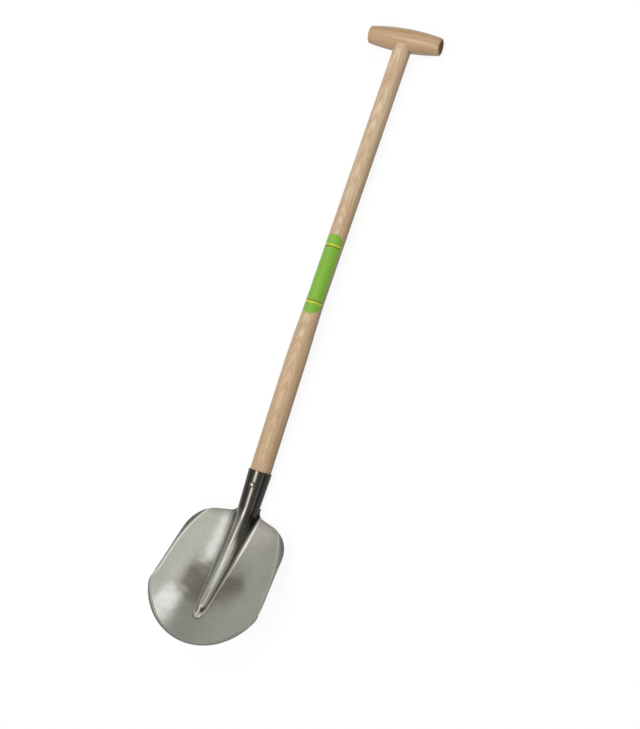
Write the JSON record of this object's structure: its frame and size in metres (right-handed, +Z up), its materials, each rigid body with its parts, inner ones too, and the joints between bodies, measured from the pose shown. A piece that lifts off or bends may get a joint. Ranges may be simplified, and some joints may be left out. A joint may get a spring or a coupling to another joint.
{
  "type": "shovel",
  "caption": "Round-nosed shovel with a dished steel blade, a hollow rib that runs into a riveted socket, a bent ash shaft and a turned wooden cross grip.",
  "frame": {"origin": "on the floor under the middle of the shovel as it lies face up on the heel of its socket and the belly of its cross grip", "axes": "+X across the blade and along the cross grip, +Y up the shaft towards the cross grip, +Z up, the way the hollow face of the blade looks"},
  "size_m": [0.2156, 1.2116, 0.1226],
  "materials": {
    "polished_steel": "satin polished",
    "ash_wood": "smooth, lightly oiled",
    "grip_wood": "turned smooth, lightly oiled",
    "wedge_wood": "dressed flush",
    "rivet_steel": "bright",
    "label_film": "plain glossy film"
  },
  "bodies": {
    "root": {"blade": "polished_steel", "shaft": "ash_wood", "cross_grip": "grip_wood", "grip_wedge": "wedge_wood", "socket_rivet": "rivet_steel", "shaft_label": "label_film"}
  },
  "joints": []
}
